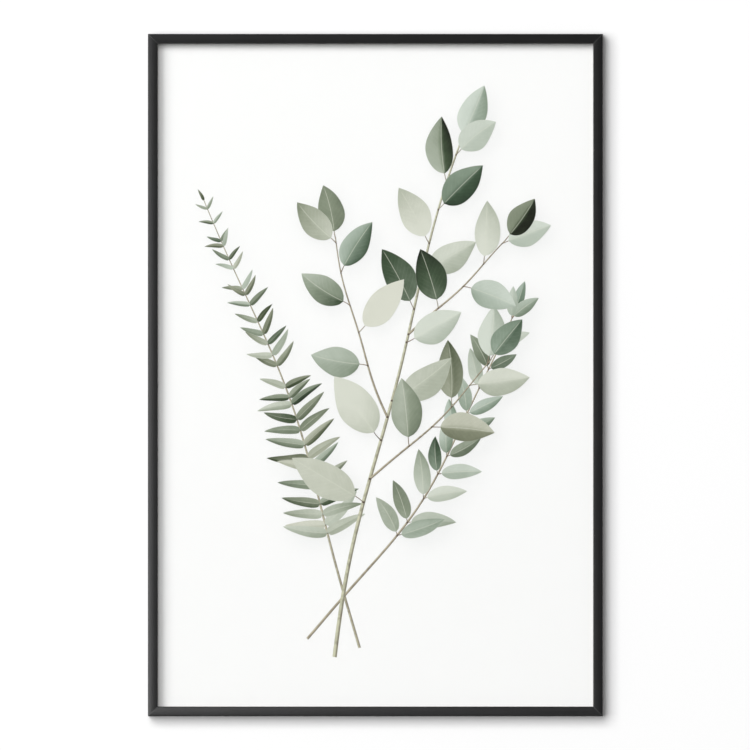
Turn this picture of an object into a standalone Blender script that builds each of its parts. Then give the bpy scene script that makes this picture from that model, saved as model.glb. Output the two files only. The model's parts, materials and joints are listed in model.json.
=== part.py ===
"""A slim framed print for a wall: mitred moulding, clear glazing, printed sheet, hardboard back and its fixings.

Metres, +Z up. The frame hangs upright with its front towards -Y and its back on the wall plane y = 0. The origin is
the wall hook's point, where the middle notch of the upper hanger rests. A place on the frame is given from one of its
sides: inward from that side's outer edge, back from the front plane, and along the side from its middle.
"""

import math
from collections import namedtuple

import bmesh
import bpy
from mathutils import Matrix, Vector

# Whole frame
FRAME_WIDTH = 0.400
FRAME_HEIGHT = 0.600
FRAME_DEPTH = 0.018
HOOK_DROP = 0.045  # from a side's outer edge in to the hook that carries it

# Moulding: a face, a lip that covers the sheets' edges, and a wall behind the lip
FACE_WIDTH = 0.0085
LIP_DEPTH = 0.008
WALL_THICKNESS = 0.005
CROWN = 0.00035  # how far the face's edges lie behind its middle
OUTER_EDGE_RADIUS = 0.0010
INNER_EDGE_RADIUS = 0.0007
BACK_EDGE_RADIUS = 0.0004
CROWN_POINTS = 7
FACE_EDGE_STEPS = 5
BACK_EDGE_STEPS = 2
MITRE_GAP = 0.0002  # along each rail, so that neighbouring mitres stay apart

# Sheets held between the lip and the tabs
FIT_GAP = 0.0003
SHEET_PLAY = 0.0008  # between a sheet's edge and the walls round it
GLAZING_THICKNESS = 0.0015
PRINT_THICKNESS = 0.0004
BOARD_THICKNESS = 0.0025
BOARD_CORNER_RADIUS = 0.002
BOARD_CORNER_STEPS = 4

# Steel tabs driven into the wall, over the back of the board
LONG_SIDE_TABS = 4
SHORT_SIDE_TABS = 3
TAB_LENGTH = 0.016
TAB_WIDTH = 0.008
TAB_THICKNESS = 0.0005
TAB_BITE = 0.0035  # length inside the wall
TAB_POINT = 0.0015  # taper of the driven end
TAB_NOSE_RADIUS = 0.003
TAB_NOSE_STEPS = 5

# V-shaped nails across the mitres
NAIL_LEG = 0.005
NAIL_THICKNESS = 0.0005
NAIL_LENGTH = 0.007
NAIL_SINK = 0.0003

# Sawtooth hangers
HANGER_LENGTH = 0.045
HANGER_PLATE = 0.0008
HANGER_RAISE = 0.0018  # of the toothed bar, for the hook's head behind it
HANGER_BODY = 0.0074  # from the notches' tops to the straight edge
TOOTH_PITCH = 0.003
TOOTH_DEPTH = 0.0016
TOOTH_COUNT = 8
RAMP_LENGTH = 0.0016
LUG_STEPS = 8
LANDSCAPE_HOOK_SIDE = "left"

# Rivets that hold the hangers to the board
SHANK_RADIUS = 0.0012
HEAD_RADIUS = 0.0024
HEAD_HEIGHT = 0.0007
FLARE_RADIUS = 0.0019
FLARE_HEIGHT = 0.0004
TURN_STEPS = 20
HEAD_STEPS = 4

WELD = 0.000001
CUT_MARGIN = 0.002  # how far a cutter runs past the surface it opens

# Depths behind the front plane, worked out from the sizes above
GLAZING_FRONT = LIP_DEPTH + FIT_GAP
PRINT_FRONT = GLAZING_FRONT + GLAZING_THICKNESS + FIT_GAP
BOARD_FRONT = PRINT_FRONT + PRINT_THICKNESS + FIT_GAP
BOARD_BACK = BOARD_FRONT + BOARD_THICKNESS
FIXING_FRONT = BOARD_BACK + FIT_GAP  # face of the tabs and the hangers that lies on the board
FRAME_CENTRE = Vector((0, 0, HOOK_DROP - FRAME_HEIGHT / 2))

Side = namedtuple("Side", "name angle half_span half_length tabs far_corner")
SIDES = (
    Side("left", 0, FRAME_WIDTH / 2, FRAME_HEIGHT / 2, LONG_SIDE_TABS, "top_left"),
    Side("top", math.pi / 2, FRAME_HEIGHT / 2, FRAME_WIDTH / 2, SHORT_SIDE_TABS, "top_right"),
    Side("right", math.pi, FRAME_WIDTH / 2, FRAME_HEIGHT / 2, LONG_SIDE_TABS, "bottom_right"),
    Side("bottom", 3 * math.pi / 2, FRAME_HEIGHT / 2, FRAME_WIDTH / 2, SHORT_SIDE_TABS, "bottom_left"),
)


def clear_scene():
    """Remove whatever the open scene holds."""
    for item in list(bpy.context.scene.objects):
        bpy.data.objects.remove(item, do_unlink=True)


def new_collection(name):
    """A collection of the scene with this name."""
    collection = bpy.data.collections.new(name)
    bpy.context.scene.collection.children.link(collection)
    return collection


def finish(name, colour, roughness, metallic=0.0, alpha=1.0):
    """A Principled material of one colour."""
    material = bpy.data.materials.new(name)
    material.use_nodes = True
    shader = material.node_tree.nodes["Principled BSDF"]
    shader.inputs["Base Color"].default_value = (*colour, 1.0)
    shader.inputs["Roughness"].default_value = roughness
    shader.inputs["Metallic"].default_value = metallic
    shader.inputs["Alpha"].default_value = alpha
    return material


def add_part(name, mesh, collection, material, parent):
    """An object for one piece of the frame."""
    part = bpy.data.objects.new(name, mesh)
    collection.objects.link(part)
    part.data.materials.append(material)
    part.parent = parent
    return part


def add_cutter(name, mesh, collection):
    """An object that only cuts others."""
    cutter = bpy.data.objects.new(name, mesh)
    collection.objects.link(cutter)
    cutter.hide_render = True
    cutter.display_type = "WIRE"
    return cutter


def cut(part, cutter, operation="DIFFERENCE"):
    """Cut a part with a Boolean modifier."""
    modifier = part.modifiers.new(cutter.name, "BOOLEAN")
    modifier.operation = operation
    modifier.object = cutter


def side_point(side, inward, depth, along):
    """The place of a point that is given from one side of the frame."""
    from_centre = Vector((inward - side.half_span, depth - FRAME_DEPTH, along))
    return Matrix.Rotation(side.angle, 3, "Y") @ from_centre + FRAME_CENTRE


def place_section(item, side, inward, depth, along):
    """Place an item whose own X runs inward, Y runs back and Z runs along the side."""
    item.location = side_point(side, inward, depth, along)
    item.rotation_euler = (0, side.angle, 0)


def place_plan(item, side, inward, depth, along):
    """Place an item whose own X runs inward, Y runs along the side and Z runs forward."""
    item.location = side_point(side, inward, depth, along)
    item.rotation_euler = (math.pi / 2, side.angle, 0)


def place_turned(item, side, inward, depth, along):
    """Place a turned item whose own axis Z runs back."""
    item.location = side_point(side, inward, depth, along)
    item.rotation_euler = (-math.pi / 2, side.angle, 0)


def arc(centre, radius, start, end, steps):
    """Points on an arc, from the start angle to the end angle."""
    points = []
    for step in range(steps + 1):
        angle = start + (end - start) * step / steps
        points.append((centre[0] + radius * math.cos(angle), centre[1] + radius * math.sin(angle)))
    return points


def flat_shape(name, outline, thickness):
    """A closed outline in the XY plane, thickened evenly both ways along Z."""
    curve = bpy.data.curves.new(name, "CURVE")
    curve.dimensions = "2D"
    curve.fill_mode = "BOTH"
    curve.extrude = thickness / 2
    spline = curve.splines.new("POLY")
    spline.points.add(len(outline) - 1)
    for point, (x, y) in zip(spline.points, outline):
        point.co = (x, y, 0, 1)
    spline.use_cyclic_u = True
    drawn = bpy.data.objects.new(name, curve)
    bpy.context.scene.collection.objects.link(drawn)
    bpy.context.view_layer.update()
    evaluated = drawn.evaluated_get(bpy.context.evaluated_depsgraph_get())
    mesh = bpy.data.meshes.new_from_object(evaluated)
    bpy.data.objects.remove(drawn, do_unlink=True)
    bpy.data.curves.remove(curve)
    mesh.name = name
    shape = bmesh.new()
    shape.from_mesh(mesh)
    bmesh.ops.remove_doubles(shape, verts=shape.verts, dist=WELD)
    bmesh.ops.recalc_face_normals(shape, faces=shape.faces)
    shape.to_mesh(mesh)
    shape.free()
    return mesh


def box_mesh(name, size):
    """A box round its own origin."""
    shape = bmesh.new()
    bmesh.ops.create_cube(shape, size=1.0)
    bmesh.ops.scale(shape, vec=size, verts=shape.verts)
    mesh = bpy.data.meshes.new(name)
    shape.to_mesh(mesh)
    shape.free()
    return mesh


def turned_mesh(name, profile):
    """A profile of radius and height, from the top down, for a Screw modifier to turn."""
    mesh = bpy.data.meshes.new(name)
    points = [(radius, 0, height) for radius, height in profile]
    edges = [(index, index + 1) for index in range(len(points) - 1)]
    mesh.from_pydata(points, edges, [])
    return mesh


def turn(item):
    """Turn an item's profile into a closed round body."""
    screw = item.modifiers.new("turned", "SCREW")
    screw.axis = "Z"
    screw.steps = TURN_STEPS
    screw.render_steps = TURN_STEPS
    screw.use_merge_vertices = True
    screw.merge_threshold = WELD
    screw.use_smooth_shade = True


def rounded_rectangle(width, height, radius, steps):
    """The outline of a rectangle with round corners, round the origin."""
    points = []
    for quarter, (sign_x, sign_y) in enumerate(((1, 1), (-1, 1), (-1, -1), (1, -1))):
        centre = (sign_x * (width / 2 - radius), sign_y * (height / 2 - radius))
        start = quarter * math.pi / 2
        points += arc(centre, radius, start, start + math.pi / 2, steps)
    return points


def crown(inward):
    """How far the moulding's face lies behind the front plane."""
    return CROWN * (2 * inward / FACE_WIDTH - 1) ** 2


def rail_section():
    """The moulding's outline: X inward from the outer edge, Y back from the front plane."""
    outer_start = OUTER_EDGE_RADIUS
    inner_start = FACE_WIDTH - INNER_EDGE_RADIUS
    outer_centre = (outer_start, crown(outer_start) + OUTER_EDGE_RADIUS)
    inner_centre = (inner_start, crown(inner_start) + INNER_EDGE_RADIUS)
    points = arc(outer_centre, OUTER_EDGE_RADIUS, math.pi, 3 * math.pi / 2, FACE_EDGE_STEPS)
    for step in range(1, CROWN_POINTS + 1):
        inward = outer_start + (inner_start - outer_start) * step / (CROWN_POINTS + 1)
        points.append((inward, crown(inward)))
    points += arc(inner_centre, INNER_EDGE_RADIUS, -math.pi / 2, 0, FACE_EDGE_STEPS)
    points.append((FACE_WIDTH, LIP_DEPTH))
    points.append((WALL_THICKNESS, LIP_DEPTH))
    back = FRAME_DEPTH - BACK_EDGE_RADIUS
    for centre, start in ((WALL_THICKNESS - BACK_EDGE_RADIUS, 0), (BACK_EDGE_RADIUS, math.pi / 2)):
        points += arc((centre, back), BACK_EDGE_RADIUS, start, start + math.pi / 2, BACK_EDGE_STEPS)
    return points


def rail_mesh(side):
    """One length of moulding, its ends mitred at 45 degrees."""
    mesh = flat_shape(f"rail_{side.name}", rail_section(), 2 * side.half_length)
    for vertex in mesh.vertices:
        reach = side.half_length - vertex.co.x - MITRE_GAP
        vertex.co.z = math.copysign(reach, vertex.co.z)
    return mesh


def tab_outline():
    """A tab's outline: X inward from the driven end, Y along the side."""
    half = TAB_WIDTH / 2
    nose = TAB_LENGTH - TAB_NOSE_RADIUS
    straight = half - TAB_NOSE_RADIUS
    points = [(0, -half + TAB_POINT), (TAB_POINT, -half)]
    points += arc((nose, -straight), TAB_NOSE_RADIUS, -math.pi / 2, 0, TAB_NOSE_STEPS)
    points += arc((nose, straight), TAB_NOSE_RADIUS, 0, math.pi / 2, TAB_NOSE_STEPS)
    points += [(TAB_POINT, half), (0, half - TAB_POINT)]
    return points


def tab_stations(side):
    """Where the tabs stand along a side, evenly spaced."""
    spacing = 2 * side.half_length / side.tabs
    return [(index + 0.5) * spacing - side.half_length for index in range(side.tabs)]


def nail_outline(leg, thickness):
    """Two legs at right angles from the origin: one inward, one back along the side."""
    half = thickness / 2
    return [(-half, half), (leg, half), (leg, -half), (half, -half), (half, -leg), (-half, -leg)]


def hanger_section():
    """A hanger's long section: X along it, Y back from the board, with the toothed bar raised."""
    lug_end = HANGER_LENGTH / 2
    bar = TOOTH_COUNT * TOOTH_PITCH / 2
    foot = bar + RAMP_LENGTH
    shift = HANGER_PLATE * math.tan(math.atan2(HANGER_RAISE, RAMP_LENGTH) / 2)
    top = HANGER_RAISE + HANGER_PLATE
    under = [(-lug_end, 0), (-foot, 0), (-bar, HANGER_RAISE), (bar, HANGER_RAISE), (foot, 0), (lug_end, 0)]
    over = [(lug_end, HANGER_PLATE), (foot + shift, HANGER_PLATE), (bar + shift, top)]
    over += [(-x, y) for x, y in reversed(over)]
    return under + over


def hanger_plan():
    """A hanger's plan: X inward from the hook, Y along the side. Its teeth point to the frame's middle."""
    bar = TOOTH_COUNT * TOOTH_PITCH / 2
    lug_radius = HANGER_BODY / 2
    lug_centre = HANGER_LENGTH / 2 - lug_radius
    points = [(0, -bar)]
    for tooth in range(TOOTH_COUNT):
        start = -bar + tooth * TOOTH_PITCH
        points += [(TOOTH_DEPTH, start + TOOTH_PITCH / 2), (0, start + TOOTH_PITCH)]
    points += arc((-lug_radius, lug_centre), lug_radius, 0, math.pi, LUG_STEPS)
    points += arc((-lug_radius, -lug_centre), lug_radius, math.pi, 2 * math.pi, LUG_STEPS)
    return points


def rivet_profile():
    """A rivet's profile: a domed head on the hanger, a shank and a flared end in the board's front."""
    head_base = FIXING_FRONT + HANGER_PLATE + FIT_GAP
    flare_back = BOARD_FRONT + FIT_GAP + FLARE_HEIGHT
    dome = []
    for step in range(HEAD_STEPS + 1):
        angle = math.pi / 2 * (1 - step / HEAD_STEPS)
        dome.append((HEAD_RADIUS * math.cos(angle), head_base + HEAD_HEIGHT * math.sin(angle)))
    dome[0] = (0, head_base + HEAD_HEIGHT)
    shank = [(SHANK_RADIUS, head_base), (SHANK_RADIUS, flare_back)]
    flare = [(FLARE_RADIUS, flare_back - FLARE_HEIGHT / 2), (FLARE_RADIUS, flare_back - FLARE_HEIGHT)]
    return dome + shank + flare + [(0, flare_back - FLARE_HEIGHT)]


def rivet_hole_profile():
    """The stepped hole that a rivet takes in the board and the hanger."""
    top = FRAME_DEPTH
    step = BOARD_FRONT + FIT_GAP + FLARE_HEIGHT + FIT_GAP
    bottom = BOARD_FRONT - CUT_MARGIN / 2
    narrow = SHANK_RADIUS + FIT_GAP
    wide = FLARE_RADIUS + FIT_GAP
    return [(0, top), (narrow, top), (narrow, step), (wide, step), (wide, bottom), (0, bottom)]


def make_rails(parts, cutters, parent, material):
    """The four lengths of moulding, with the slots that the nails and tabs stand in."""
    rails = {}
    for side in SIDES:
        rail = add_part(f"rail_{side.name}", rail_mesh(side), parts, material, parent)
        place_section(rail, side, 0, 0, 0)
        rails[side.name] = rail
    slot_size = (TAB_BITE + FIT_GAP + CUT_MARGIN, TAB_WIDTH + 2 * FIT_GAP, TAB_THICKNESS + 2 * FIT_GAP)
    slot = box_mesh("tab_slot", slot_size)
    slot_inward = WALL_THICKNESS + CUT_MARGIN - slot_size[0] / 2
    slot_depth = FIXING_FRONT + TAB_THICKNESS / 2
    groove_height = NAIL_LENGTH + NAIL_SINK + FIT_GAP + CUT_MARGIN
    groove = flat_shape("nail_groove", nail_outline(NAIL_LEG + FIT_GAP, NAIL_THICKNESS + 2 * FIT_GAP),
                        groove_height)
    groove_depth = FRAME_DEPTH + CUT_MARGIN - groove_height / 2
    for index, side in enumerate(SIDES):
        for number, station in enumerate(tab_stations(side), 1):
            cutter = add_cutter(f"slot_{side.name}_{number}", slot, cutters)
            place_plan(cutter, side, slot_inward, slot_depth, station)
            cut(rails[side.name], cutter)
        cutter = add_cutter(f"groove_{side.far_corner}", groove, cutters)
        place_plan(cutter, side, WALL_THICKNESS / 2, groove_depth, side.half_length - WALL_THICKNESS / 2)
        cut(rails[side.name], cutter)
        cut(rails[SIDES[(index + 1) % len(SIDES)].name], cutter)


def make_sheets(parts, parent, glazing_finish, paper_finish, board_finish):
    """The glazing, the printed sheet and the board, one behind the other. The board is returned."""
    width = FRAME_WIDTH - 2 * (WALL_THICKNESS + SHEET_PLAY)
    height = FRAME_HEIGHT - 2 * (WALL_THICKNESS + SHEET_PLAY)
    plain = (
        ("glazing_sheet", GLAZING_FRONT, GLAZING_THICKNESS, glazing_finish),
        ("print_sheet", PRINT_FRONT, PRINT_THICKNESS, paper_finish),
    )
    for name, front, thickness, material in plain:
        sheet = add_part(name, box_mesh(name, (width, thickness, height)), parts, material, parent)
        sheet.location = FRAME_CENTRE + Vector((0, front + thickness / 2 - FRAME_DEPTH, 0))
    outline = rounded_rectangle(width, height, BOARD_CORNER_RADIUS, BOARD_CORNER_STEPS)
    mesh = flat_shape("backing_board", outline, BOARD_THICKNESS)
    board = add_part("backing_board", mesh, parts, board_finish, parent)
    board.location = FRAME_CENTRE + Vector((0, (BOARD_FRONT + BOARD_BACK) / 2 - FRAME_DEPTH, 0))
    board.rotation_euler = (math.pi / 2, 0, 0)
    return board


def make_nails(parts, parent, material):
    """One V-shaped nail across each mitre, from the back."""
    mesh = flat_shape("corner_nail", nail_outline(NAIL_LEG, NAIL_THICKNESS), NAIL_LENGTH)
    depth = FRAME_DEPTH - NAIL_SINK - NAIL_LENGTH / 2
    for side in SIDES:
        nail = add_part(f"corner_nail_{side.far_corner}", mesh.copy(), parts, material, parent)
        place_plan(nail, side, WALL_THICKNESS / 2, depth, side.half_length - WALL_THICKNESS / 2)


def make_tabs(parts, parent, material):
    """The tabs, each driven into its rail and lying over the board."""
    mesh = flat_shape("tab", tab_outline(), TAB_THICKNESS)
    for side in SIDES:
        for number, station in enumerate(tab_stations(side), 1):
            tab = add_part(f"tab_{side.name}_{number}", mesh.copy(), parts, material, parent)
            place_plan(tab, side, WALL_THICKNESS - TAB_BITE, FIXING_FRONT + TAB_THICKNESS / 2, station)


def make_hangers(parts, cutters, parent, hanger_finish, rivet_finish, board):
    """A sawtooth hanger for each way up, riveted to the board."""
    hook_sides = {"portrait": "top", "landscape": LANDSCAPE_HOOK_SIDE}
    section = flat_shape("hanger", hanger_section(), 2 * HANGER_BODY)
    plan = flat_shape("hanger_plan", hanger_plan(), 2 * FRAME_DEPTH)
    rivet = turned_mesh("rivet", rivet_profile())
    hole = turned_mesh("rivet_hole", rivet_hole_profile())
    lug_radius = HANGER_BODY / 2
    lug_centre = HANGER_LENGTH / 2 - lug_radius
    for way_up, side_name in hook_sides.items():
        side = next(side for side in SIDES if side.name == side_name)
        hanger = add_part(f"hanger_{way_up}", section.copy(), parts, hanger_finish, parent)
        hanger.location = side_point(side, HOOK_DROP, FIXING_FRONT, 0)
        hanger.rotation_euler = (0, side.angle - math.pi / 2, 0)
        outline = add_cutter(f"outline_{way_up}", plan, cutters)
        place_plan(outline, side, HOOK_DROP, FIXING_FRONT, 0)
        cut(hanger, outline, "INTERSECT")
        for end, along in (("a", -lug_centre), ("b", lug_centre)):
            cutter = add_cutter(f"rivet_hole_{way_up}_{end}", hole, cutters)
            turn(cutter)
            place_turned(cutter, side, HOOK_DROP - lug_radius, 0, along)
            cut(hanger, cutter)
            cut(board, cutter)
            fastener = add_part(f"rivet_{way_up}_{end}", rivet.copy(), parts, rivet_finish, parent)
            turn(fastener)
            place_turned(fastener, side, HOOK_DROP - lug_radius, 0, along)


def build():
    """Build the framed print."""
    clear_scene()
    parts = new_collection("framed_print")
    cutters = new_collection("cutters")
    hook = bpy.data.objects.new("wall_hook", None)
    parts.objects.link(hook)
    black = finish("moulding_black", (0.012, 0.012, 0.013), 0.42)
    clear = finish("glazing_clear", (0.96, 0.98, 0.98), 0.05, alpha=0.12)
    paper = finish("print_paper", (0.90, 0.90, 0.88), 0.75)
    hardboard = finish("hardboard_brown", (0.20, 0.115, 0.06), 0.70)
    steel = finish("fixing_steel", (0.42, 0.42, 0.43), 0.38, metallic=1.0)
    zinc = finish("hanger_zinc", (0.55, 0.55, 0.56), 0.30, metallic=1.0)
    make_rails(parts, cutters, hook, black)
    board = make_sheets(parts, hook, clear, paper, hardboard)
    make_nails(parts, hook, steel)
    make_tabs(parts, hook, steel)
    make_hangers(parts, cutters, hook, zinc, zinc, board)


build()
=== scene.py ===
"""The looks of a slim framed botanical print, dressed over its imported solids.

Metres, +Z up, front towards -Y, wall plane at y = 0, origin at the wall hook's point. The moulding, board and
fixings are refined copies of the solids. The print is a sheet whose botanical design is grown by rules from a
seed: Geometry Nodes draw every stem, stalk and leaf as a flat shape bent along an arc.
"""
import json
import logging
import math
import random
from dataclasses import dataclass, fields
from enum import Enum
from typing import Dict, List, Optional, Sequence, Set, Tuple, Union

import bmesh
import bpy
import numpy as np
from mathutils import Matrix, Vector

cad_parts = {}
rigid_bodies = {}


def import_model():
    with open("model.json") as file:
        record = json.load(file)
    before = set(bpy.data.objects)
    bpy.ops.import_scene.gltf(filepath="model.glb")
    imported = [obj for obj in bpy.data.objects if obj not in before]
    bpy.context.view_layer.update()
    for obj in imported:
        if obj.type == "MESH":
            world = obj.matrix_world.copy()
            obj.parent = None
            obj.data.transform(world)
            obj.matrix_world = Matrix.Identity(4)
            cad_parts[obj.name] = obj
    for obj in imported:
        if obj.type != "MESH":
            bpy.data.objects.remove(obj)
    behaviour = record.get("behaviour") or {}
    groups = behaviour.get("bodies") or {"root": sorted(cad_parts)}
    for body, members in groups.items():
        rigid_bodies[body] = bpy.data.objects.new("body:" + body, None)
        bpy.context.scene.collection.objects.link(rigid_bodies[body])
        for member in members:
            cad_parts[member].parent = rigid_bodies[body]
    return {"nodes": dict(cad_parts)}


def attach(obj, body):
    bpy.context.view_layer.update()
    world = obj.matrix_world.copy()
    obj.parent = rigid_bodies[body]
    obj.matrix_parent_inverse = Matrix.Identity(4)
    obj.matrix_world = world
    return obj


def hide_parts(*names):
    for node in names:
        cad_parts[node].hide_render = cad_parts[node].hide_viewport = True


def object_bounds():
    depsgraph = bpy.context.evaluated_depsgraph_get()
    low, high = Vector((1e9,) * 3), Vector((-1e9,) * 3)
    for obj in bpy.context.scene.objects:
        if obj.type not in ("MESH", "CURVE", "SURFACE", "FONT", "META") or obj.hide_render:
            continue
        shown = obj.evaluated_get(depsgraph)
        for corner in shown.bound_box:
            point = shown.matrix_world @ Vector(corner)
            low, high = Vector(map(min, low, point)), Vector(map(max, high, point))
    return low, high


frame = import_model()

CAD_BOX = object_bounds()
LOG = logging.getLogger("framed_print")
BODY = "root"

Socket = bpy.types.NodeSocket
Feed = Union[Socket, float, Sequence[float]]
Colour = Tuple[float, float, float]

FRONT = CAD_BOX[0].y
MIDDLE = (CAD_BOX[0] + CAD_BOX[1]) / 2
UPRIGHT_SIDES = ("left", "right")
SIDES = ("left", "top", "right", "bottom")

# The dressed pieces' names, or the starts that several share
RAIL = "painted_rail"
UPRIGHTS = tuple(f"{RAIL}_{side}" for side in UPRIGHT_SIDES)
GLAZING = "acrylic_sheet"
PAPER, LEAVES, STEMS = PRINT = ("paper_sheet", "printed_leaves", "printed_stems")
NAIL, TAB, HANGER, RIVET = FIXINGS = ("mitre_nail", "bent_tab", "sawtooth", "rivet_head")

# How a solid's triangles are joined into a mesh that can be dressed
MERGE = 0.000001
FLAT_ANGLE = math.radians(0.5)
SMOOTH_ANGLE = math.radians(35)
SOFTENED_ANGLE = math.radians(40)


class Board:
    """Adds and wires the nodes of one node tree.

    Args:
        tree: the shader or geometry tree to work on.
    """

    def __init__(self, tree: bpy.types.NodeTree) -> None:
        """Keep the tree."""
        self.tree = tree

    def add(self, kind: str, **settings: object) -> bpy.types.Node:
        """Add a node.

        Args:
            kind: the node's type name.
            settings: properties to set on it.

        Returns:
            The new node.
        """
        node = self.tree.nodes.new(kind)
        for name, value in settings.items():
            setattr(node, name, value)
        return node

    def feed(self, socket: Socket, value: Optional[Feed]) -> None:
        """Link a socket to another, or set its value.

        Args:
            socket: the input to feed.
            value: another node's output, a plain value, or None to leave it.
        """
        if isinstance(value, bpy.types.NodeSocket):
            self.tree.links.new(value, socket)
        elif value is not None:
            short = socket.type == "RGBA" and len(value) == 3
            socket.default_value = (*value, 1.0) if short else value

    def math(self, operation: str, first: Feed, second: Optional[Feed] = None,
             third: Optional[Feed] = None, clamp: bool = False) -> Socket:
        """One Math node.

        Args:
            operation: the node's operation.
            first: its first input.
            second: its second input, where it has one.
            third: its third input, where it has one.
            clamp: keep the result between 0 and 1.

        Returns:
            The result.
        """
        node = self.add("ShaderNodeMath", operation=operation, use_clamp=clamp)
        for socket, value in zip(node.inputs, (first, second, third)):
            self.feed(socket, value)
        return node.outputs[0]

    def blend(self, share: Feed, first: Feed, second: Feed, mode: str = "MIX") -> Socket:
        """Mix two colours.

        Args:
            share: how much of the second shows.
            first: the first colour.
            second: the second colour.
            mode: how they blend.

        Returns:
            The mixed colour.
        """
        node = self.add("ShaderNodeMix", data_type="RGBA", blend_type=mode)
        self.feed(node.inputs[0], share)
        self.feed(node.inputs[6], first)
        self.feed(node.inputs[7], second)
        return node.outputs[2]

    def band(self, value: Feed, low: float, high: float, to_low: float = 0.0, to_high: float = 1.0) -> Socket:
        """A smooth step from one value to another.

        Args:
            value: what is read.
            low: where the step starts.
            high: where it ends.
            to_low: the result at the start.
            to_high: the result at the end.

        Returns:
            The stepped value.
        """
        node = self.add("ShaderNodeMapRange", interpolation_type="SMOOTHSTEP")
        for socket, number in zip(node.inputs, (value, low, high, to_low, to_high)):
            self.feed(socket, number)
        return node.outputs[0]


class Surface(Board):
    """The nodes of one Principled material.

    Args:
        name: the material's name.
    """

    def __init__(self, name: str) -> None:
        """Make the material with its Principled shader."""
        self.material = bpy.data.materials.new(name)
        self.material.use_nodes = True
        super().__init__(self.material.node_tree)
        self.shader = self.tree.nodes["Principled BSDF"]
        self.output = self.tree.nodes["Material Output"]

    def set(self, **inputs: Feed) -> None:
        """Feed the shader's inputs, named with underscores for spaces."""
        for name, value in inputs.items():
            self.feed(self.shader.inputs[name.replace("_", " ")], value)

    def place(self, scale: Sequence[float] = (1, 1, 1)) -> Socket:
        """The surface's own Object coordinates, scaled.

        Args:
            scale: factors along X, Y and Z.

        Returns:
            The scaled place.
        """
        place = self.add("ShaderNodeTexCoord").outputs["Object"]
        mapping = self.add("ShaderNodeMapping")
        self.feed(mapping.inputs["Vector"], place)
        self.feed(mapping.inputs["Scale"], scale)
        return mapping.outputs[0]

    def attribute(self, name: str) -> bpy.types.Node:
        """A node that reads one of the mesh's attributes."""
        return self.add("ShaderNodeAttribute", attribute_name=name)

    def noise(self, place: Socket, scale: float, detail: float = 3.0, rough: float = 0.55) -> Socket:
        """Noise between 0 and 1.

        Args:
            place: where it is read.
            scale: its frequency.
            detail: its octaves.
            rough: the strength of the finer ones.

        Returns:
            The noise.
        """
        node = self.add("ShaderNodeTexNoise")
        self.feed(node.inputs["Vector"], place)
        self.feed(node.inputs["Scale"], scale)
        self.feed(node.inputs["Detail"], detail)
        self.feed(node.inputs["Roughness"], rough)
        return node.outputs[0]

    def ramp(self, value: Feed, stops: Sequence[Tuple[float, Colour]]) -> Socket:
        """A colour ramp.

        Args:
            value: what is read.
            stops: places between 0 and 1 with their colours.

        Returns:
            The colour.
        """
        node = self.add("ShaderNodeValToRGB")
        elements = node.color_ramp.elements
        while len(elements) < len(stops):
            elements.new(1.0)
        for element, (place, colour) in zip(elements, stops):
            element.position = place
            element.color = (*colour, 1.0)
        self.feed(node.inputs[0], value)
        return node.outputs[0]

    def relief(self, height: Socket, depth: float, strength: float = 1.0) -> None:
        """Give the surface a fine relief.

        Args:
            height: the height, 0 to 1.
            depth: what 1 stands for, in metres.
            strength: how much of it shows.
        """
        node = self.add("ShaderNodeBump")
        self.feed(node.inputs["Strength"], strength)
        self.feed(node.inputs["Distance"], depth)
        self.feed(node.inputs["Height"], height)
        self.feed(self.shader.inputs["Normal"], node.outputs[0])


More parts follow.
